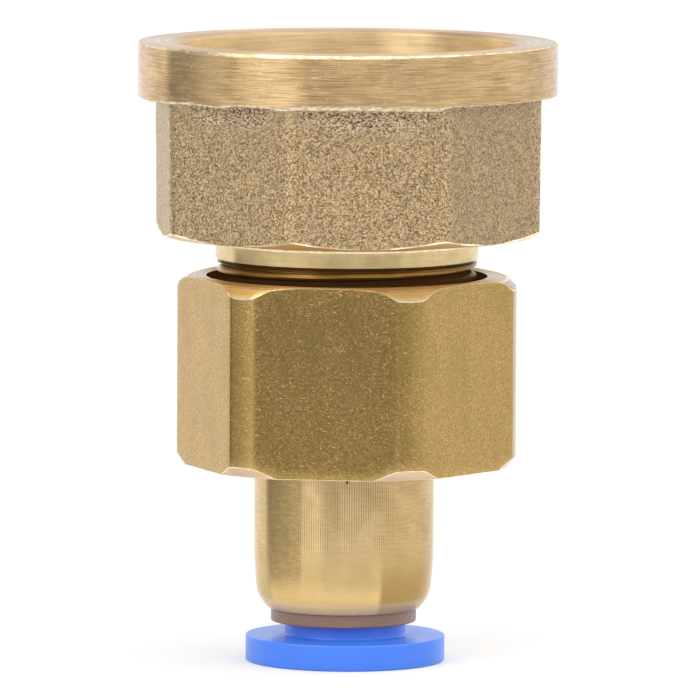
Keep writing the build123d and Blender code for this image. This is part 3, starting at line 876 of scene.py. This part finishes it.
def forge_bend(angles, radii, heights, row_looks):
    """The die's draft, with small lumps and hollows, on the forged rows only."""
    radii, heights = radii.copy(), heights.copy()
    for row in np.nonzero(row_looks == 0)[0]:
        for column, angle in enumerate(angles):
            r, z = radii[row, column], heights[row, column]
            if r < octagon_foot + 0.05:
                continue
            spot = Vector((r * math.cos(angle), r * math.sin(angle), z))
            lump = noise.noise(spot * 0.45) * 0.05 + noise.noise(spot * 1.6) * 0.02
            near = min(max((z - collar_bottom + 1.1) / 0.8, 0), 1)
            lump += (noise.noise(spot * 3.2) * 0.08 + noise.noise(spot * 6.5) * 0.05) * near
            lump -= octagon_draft * (collar_bottom - z) / (collar_bottom - octagon_bottom)
            radii[row, column] = min(r + lump, collar_radius - 0.02)
    return radii, heights


def make_adapter():
    angles, facet = octagon_columns()
    names = ("forged", "burr", "collar", "edge", "turned", "face", "bore", "rim")
    look = {name: i for i, name in enumerate(names)}
    rise = (facet - octagon_draft - octagon_foot) * octagon_chamfer_slope
    rise = np.maximum(rise + 0.02 * around(angles, 50, 4.4), 0.02)
    bearing = (np.degrees(angles - view_azimuth) + 90 + 180) % 360 - 180
    droop = np.interp(bearing, *zip(*overhang_droop), period=360)
    ragged = 0.02 * around(angles, 60, 5.2) - droop
    burr = np.interp(bearing, *zip(*overhang_burr), period=360) + 0.03 * around(angles, 70, 2.3)
    burr = np.maximum(burr, 0.03)
    shown = np.exp(-(((bearing - bevel_middle) / bevel_reach) ** 4))
    rim = 0.07 + (collar_edge_height - 0.07) * shown + 0.02 * around(angles, 45, 7.7)
    female = thread(
        socket_pitch, socket_thread_depth, socket_thread_bottom, socket_thread_top, fade=0.6
    )
    corners = [
        Corner(cartridge_bore, octagon_bottom, 0.0, look["turned"]),
        Corner(band_radius + band_flare, octagon_bottom, 0.0, look["turned"], rows=5),
        Corner(octagon_foot, octagon_bottom, 0.05, look["turned"], look["edge"], rows=2),
        Corner(facet, octagon_bottom + rise, 0.09, look["forged"], look["edge"], rows=46),
        Corner(facet, collar_bottom + ragged - 0.02, 0.2, look["forged"], rows=3),
        Corner(collar_radius, collar_bottom + ragged, burr, look["collar"], look["burr"], rows=8),
        Corner(collar_radius, collar_top - rim, 0.03, look["rim"]),
        Corner(collar_radius - collar_edge_depth, collar_top, 0.04, look["face"], look["rim"], rows=3),
        Corner(socket_mouth + 0.23, collar_top, 0.04, look["face"]),
        Corner(socket_mouth, collar_top - 0.23, 0.03, look["bore"], rows=3),
        Corner(socket_mouth, socket_mouth_floor, 0.04, look["bore"], rows=4),
        Corner(socket_thread_radius, socket_thread_top, 0.0, look["bore"], rows=46, shape=female),
        Corner(socket_thread_radius, socket_thread_bottom, 0.0, look["turned"]),
        Corner(socket_undercut, socket_thread_bottom - 1.19, 0.1, look["turned"]),
        Corner(socket_undercut, socket_floor, 0.1, look["turned"], rows=4),
        Corner(port_radius, socket_floor, 0.1, look["turned"]),
        Corner(port_radius, cartridge_shoulder, 0.0, look["turned"]),
        Corner(cartridge_bore, cartridge_shoulder, 0.0, look["turned"]),
    ]
    materials = [looks[k] for k in look]
    piece = column_mesh("adapter_head", angles, corners, materials, bend=forge_bend)
    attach(piece, "adapter")
    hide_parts("socket_adapter")


def make_stub():
    angles = even_angles(320)
    look = {"turned": 0, "edge": 1, "thread": 2, "band": 3}
    male = thread(
        body_pitch, -body_thread_depth, stub_end + 0.8, band_bottom - 0.25, 0.25, root_height
    )
    flare = arc(
        (band_radius, octagon_bottom - band_flare),
        (band_radius + band_flare, octagon_bottom),
        0.9,
        3,
        side=-1,
    )
    corners = [
        Corner(cartridge_bore, octagon_bottom, 0.0, rows=4),
        Corner(cartridge_bore, circlip_top, 0.03),
        Corner(circlip_groove, circlip_top, 0.03),
        Corner(circlip_groove, circlip_bottom, 0.03),
        Corner(cartridge_bore, circlip_bottom, 0.03),
        Corner(cartridge_bore, stub_end + 0.5, 0.0),
        Corner(cartridge_bore + 0.5, stub_end, 0.04),
        Corner(stub_radius - 0.8, stub_end, 0.05),
        Corner(stub_radius, stub_end + 0.8, 0.0, look["thread"], rows=124, shape=male),
        Corner(stub_radius, band_bottom - 0.25, 0.04, look["thread"]),
        Corner(relief_radius, band_bottom - 0.25, 0.05, look["thread"]),
        Corner(relief_radius, band_bottom, 0.03, look["thread"]),
        Corner(band_radius, band_bottom, 0.04, look["band"], rows=4),
        Corner(band_radius, octagon_bottom - band_flare, 0.0, look["edge"]),
        *[Corner(radius, height, look=look["edge"]) for radius, height in flare],
        Corner(band_radius + band_flare, octagon_bottom, 0.0),
    ]
    piece = column_mesh("adapter_stub", angles, corners, [looks[k] for k in look])
    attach(piece, "adapter")
    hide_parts("socket_adapter")


make_hex_body()
make_adapter()
make_stub()


# ---- plastic ring and sleeve ---------------------------------------------------------
def make_sleeve():
    corners = [
        Corner(sleeve_bore + 0.5, 0.0, 0.1),
        Corner(flange_radius, 0.0, 0.17, rows=3),
        Corner(flange_radius, flange_thickness, 0.13, rows=3),
        Corner(sleeve_radius, flange_thickness, 0.2, rows=3),
        Corner(sleeve_radius, sleeve_step, 0.03),
        Corner(barb_radius, sleeve_step, 0.05),
        Corner(barb_radius, sleeve_barb_top, 0.05),
        Corner(sleeve_bore + 0.15, sleeve_top, 0.04),
        Corner(sleeve_bore, sleeve_top, 0.04, rows=3),
        Corner(sleeve_bore, 0.5, 0.1),
    ]
    piece = column_mesh("push_sleeve", even_angles(192), corners, [looks["blue"]])
    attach(piece, "sleeve")
    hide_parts("release_sleeve")


def make_guide_ring():
    corners = [
        Corner(guide_bore + 0.25, guide_bottom, 0.05),
        Corner(guide_radius, guide_bottom, 0.13, rows=3),
        Corner(guide_radius, neck_end + 0.55, 0.05),
        Corner(inner_radius, neck_end + 1.4, 0.05),
        Corner(inner_radius, guide_top, 0.05),
        Corner(barb_radius + 0.08, guide_top, 0.05),
        Corner(barb_radius + 0.08, guide_step, 0.0),
        Corner(guide_bore, guide_step, 0.03),
        Corner(guide_bore, guide_bottom + 0.25, 0.05),
    ]

    def set_aside(angles, radii, heights, row_looks):
        shown = (heights[:, 0] < neck_end + 0.6) & (radii[:, 0] > guide_bore + 0.3)
        return radii - shown[:, None] * neck_aside * np.cos(angles - view_azimuth), heights

    piece = column_mesh("sleeve_guide", even_angles(192), corners, [looks["brown"]], bend=set_aside)
    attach(piece, "fitting")
    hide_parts("guide_ring")


make_sleeve()
make_guide_ring()


# ---- grab ring -----------------------------------------------------------------------
def make_grab_rim():
    corners = [
        Corner(grab_rim_inner, guide_top, 0.02),
        Corner(inner_radius, guide_top, 0.02),
        Corner(inner_radius, guide_top + grab_thickness, 0.02),
        Corner(grab_rim_inner, guide_top + grab_thickness, 0.02),
    ]
    piece = column_mesh("grab_rim", even_angles(96), corners, [looks["spring"]])
    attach(piece, "fitting")
    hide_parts("grab_ring")


def make_grab_teeth():
    """Sloping teeth inside the rim."""
    slope = math.tan(math.radians(grab_angle))
    thick = grab_thickness / math.cos(math.radians(grab_angle))
    radii = np.linspace(grab_rim_inner + 0.01, bite_radius, 9)
    across = 6
    points = []
    faces = []
    for tooth in range(grab_teeth):
        first = len(points)
        for radius in radii:
            beside_slot = math.asin(grab_slot / 2 / radius)
            start = math.tau * tooth / grab_teeth + beside_slot
            end = math.tau * (tooth + 1) / grab_teeth - beside_slot
            low = guide_top + max(grab_rim_inner - radius, 0.0) * slope
            for angle in np.linspace(start, end, across + 1):
                for height in (low, low + thick):
                    point = (radius * math.cos(angle), radius * math.sin(angle), height)
                    points.append(tuple(c * MM for c in point))

        def corner(row, column, top):
            return first + (row * (across + 1) + column) * 2 + top

        def wall(start, end, turned):
            face = (corner(*start, 0), corner(*start, 1), corner(*end, 1), corner(*end, 0))
            faces.append(face[::-1] if turned else face)

        last = len(radii) - 1
        for row in range(last):
            for column in range(across):
                ring = ((row, column), (row, column + 1), (row + 1, column + 1), (row + 1, column))
                faces.append([corner(*ring[i], 0) for i in (0, 3, 2, 1)])
                faces.append([corner(*spot, 1) for spot in ring])
            wall((row, 0), (row + 1, 0), False)
            wall((row, across), (row + 1, across), True)
        for column in range(across):
            wall((0, column), (0, column + 1), True)
            wall((last, column), (last, column + 1), False)
    piece = add_piece("grab_teeth", points, faces, [looks["spring"]])
    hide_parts("grab_ring")
    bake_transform(piece)


make_grab_rim()
make_grab_teeth()


# ---- poppet spring -------------------------------------------------------------------
def make_spring():
    """The poppet's coil spring, closed at both ends."""
    low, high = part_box("poppet_spring")
    wire = spring_wire / 2
    coil = high.x / MM - wire
    bottom, top = low.z / MM + wire, high.z / MM - wire
    steps, sides = 48, 12
    count = int(spring_turns * steps)
    points = []
    for i in range(count + 1):
        turned = i / steps
        closed = min(turned, spring_turns - turned, 0.75) / 0.75
        along = turned / spring_turns
        angle = math.tau * turned
        height = bottom + (top - bottom) * along
        radius = wire * (0.8 + 0.2 * closed)
        for j in range(sides):
            round_wire = math.tau * j / sides
            reach = coil + radius * math.cos(round_wire)
            rise = height + radius * math.sin(round_wire)
            point = (reach * math.cos(angle), reach * math.sin(angle), rise)
            points.append(tuple(c * MM for c in point))
    faces = [
        (
            (i + 1) * sides + j,
            (i + 1) * sides + (j + 1) % sides,
            i * sides + (j + 1) % sides,
            i * sides + j,
        )
        for i in range(count)
        for j in range(sides)
    ]
    faces.append(tuple(range(sides)))
    faces.append(tuple(count * sides + j for j in reversed(range(sides))))
    piece = add_piece("coil_spring", points, faces, [looks["spring"]])
    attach(piece, "cartridge")
    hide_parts("poppet_spring")
    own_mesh(piece)


make_spring()

# ---- CAD nodes that keep their own mesh ---------------------------------------------
kept = {
    "rubber": ("tube_seal", "face_gasket", "port_washer", "housing_seal", "poppet_seal"),
    "spring": ("retaining_ring",),
    "white": ("backup_ring", "valve_housing", "spring_guide"),
    "grey": ("poppet",),
    "turned": ("metering_jet",),
    "stainless": ("strainer_screen",),
}
for look, names in kept.items():
    for name in names:
        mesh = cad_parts[name].data
        mesh.materials.clear()
        mesh.materials.append(looks[look])


# ---- studio ------------------------------------------------------------------------
# Brightness by azimuth from the camera's, in degrees to the right: level, and from 30 degrees up.
# Fitted to the tones that the brass mirrors in the main view.
horizon = [
    (-180, 1.06), (-121, 1.1), (-116, 0.29), (-98, 0.31), (-84, 0.54), (-76, 0.57), (-74, 0.82),
    (-66, 0.86), (-57, 0.98), (-53, 0.70), (-49, 0.98), (-36, 0.98), (-27, 0.64), (-22, 0.43),
    (-9, 0.43), (-3, 0.58), (14, 0.60), (32, 0.53), (44, 0.55), (47, 0.80), (104, 0.92),
    (130, 0.92), (145, 1.0), (180, 1.06),
]
overhead = [
    (-180, 1.1), (-125, 1.5), (-118, 0.50), (-100, 0.42), (-90, 1.25), (-76, 0.85), (-57, 1.3),
    (-53, 1.0), (-49, 1.4), (-30, 1.5), (0, 1.8), (46, 1.7), (51, 1.05), (66, 1.1), (88, 1.75),
    (140, 1.4), (180, 1.1),
]
brightest = 1.8


def make_world():
    """A pale studio: darker towards the front, white behind and below, lighter overhead."""
    world = bpy.data.worlds.new("studio")
    bpy.context.scene.world = world
    world.use_nodes = True
    nodes = Nodes(world.node_tree)
    place = nodes.node("ShaderNodeTexCoord").outputs["Generated"]
    turned = nodes.node("ShaderNodeMapping", Vector=place, Rotation=(0, 0, -view_azimuth)).outputs[0]
    right, away, high = nodes.node("ShaderNodeSeparateXYZ", Vector=turned).outputs
    azimuth = nodes.math("ARCTAN2", right, nodes.math("MULTIPLY", away, -1.0))
    share = nodes.math("MULTIPLY_ADD", azimuth, 1 / math.tau, 0.5)

    def levels(table):
        ramp = nodes.node("ShaderNodeValToRGB")
        nodes.plug(ramp.inputs[0], share)
        stops = ramp.color_ramp.elements
        stops[0].position, stops[1].position = 0.0, 1.0
        for degrees, level in table[1:-1]:
            stops.new(degrees / 360 + 0.5)
        for stop, (degrees, level) in zip(sorted(stops, key=lambda s: s.position), table):
            stop.color = (*[level / brightest] * 3, 1)
        return nodes.math("MULTIPLY", ramp.outputs[0], brightest)

    level, above = levels(horizon), levels(overhead)
    up = nodes.ramp(high, 0.1, 0.5)
    down = nodes.ramp(nodes.math("MULTIPLY", high, -1.0), 0.2, 0.5)
    level = nodes.math("MULTIPLY_ADD", up, nodes.math("SUBTRACT", above, level), level)
    level = nodes.math("MULTIPLY_ADD", down, nodes.math("SUBTRACT", 1.0, level), level)
    seen = nodes.node("ShaderNodeLightPath").outputs["Is Camera Ray"]
    background = world.node_tree.nodes["Background"]
    nodes.plug(background.inputs["Color"], nodes.math("MAXIMUM", level, seen))
    world.cycles.sampling_method = "AUTOMATIC"


def make_floor():
    """A pale round table top that fades out away from the object and is clear from below."""
    radius, fade = 0.13, 0.04
    mesh = bpy.data.meshes.new("floor")
    count = 96
    points = [(0, 0, 0)]
    points += [
        (radius * math.cos(math.tau * i / count), radius * math.sin(math.tau * i / count), 0)
        for i in range(count)
    ]
    faces = [(0, i + 1, (i + 1) % count + 1) for i in range(count)]
    mesh.from_pydata(points, [], faces)
    floor = bpy.data.objects.new("floor", mesh)
    bpy.context.scene.collection.objects.link(floor)
    look = Look("floor", (0.6, 0.6, 0.6), 0.8)
    tree = look.tree
    clear = look.ramp(look.length(look.place), fade, radius)
    backside = look.node("ShaderNodeNewGeometry").outputs["Backfacing"]
    clear = look.math("MAXIMUM", clear, backside)
    rays = look.node("ShaderNodeLightPath").outputs
    seen = look.math("MAXIMUM", rays["Is Camera Ray"], rays["Is Glossy Ray"])
    seen = look.math("MAXIMUM", seen, rays["Is Transmission Ray"])
    look.set("Emission Color", (1, 1, 1, 1))
    look.set("Emission Strength", look.math("MULTIPLY", seen, 0.30))
    look.set("Specular IOR Level", 0.0)
    mix = look.node("ShaderNodeMixShader")
    look.plug(mix.inputs[0], clear)
    tree.links.new(look.shader.outputs[0], mix.inputs[1])
    tree.links.new(look.node("ShaderNodeBsdfTransparent").outputs[0], mix.inputs[2])
    tree.links.new(mix.outputs[0], tree.nodes["Material Output"].inputs["Surface"])
    mesh.materials.append(look.material)


def soft_lamp(name, azimuth, elevation, distance, size, power):
    """A square soft lamp that faces the object; its azimuth is from the camera's, to the right."""
    a = view_azimuth + math.radians(azimuth)
    e = math.radians(elevation)
    centre = Vector((0, 0, (cad_box[0].z + cad_box[1].z) / 2))
    towards = Vector((math.sin(a) * math.cos(e), -math.cos(a) * math.cos(e), math.sin(e)))
    light = bpy.data.lights.new(name, "AREA")
    light.shape = "SQUARE"
    light.size = size
    light.energy = power
    lamp = bpy.data.objects.new(name, light)
    lamp.location = centre + towards * distance
    lamp.rotation_euler = towards.to_track_quat("Z", "Y").to_euler()
    bpy.context.scene.collection.objects.link(lamp)


def make_camera():
    a, e = view_azimuth, view_pitch
    centre = (cad_box[0] + cad_box[1]) / 2
    aim = Vector((0, 0, centre.z + view_rise)) + Vector((math.cos(a), math.sin(a), 0)) * view_aside
    back = Vector((math.sin(a) * math.cos(e), -math.cos(a) * math.cos(e), math.sin(e)))
    data = bpy.data.cameras.new("camera")
    data.lens = view_lens
    data.sensor_width = 36
    data.clip_start, data.clip_end = 0.05, 20
    camera = bpy.data.objects.new("camera", data)
    camera.location = aim + back * view_distance
    upright = back.to_track_quat("Z", "Y")
    camera.rotation_euler = (upright @ Quaternion((0, 0, 1), view_roll)).to_euler()
    bpy.context.scene.collection.objects.link(camera)
    bpy.context.scene.camera = camera


make_world()
make_floor()
soft_lamp("key", -46, 34, 1.2, 0.7, 3.6)
soft_lamp("fill", 62, 40, 1.2, 0.7, 1.4)
make_camera()
bpy.context.scene.view_settings.view_transform = "Standard"
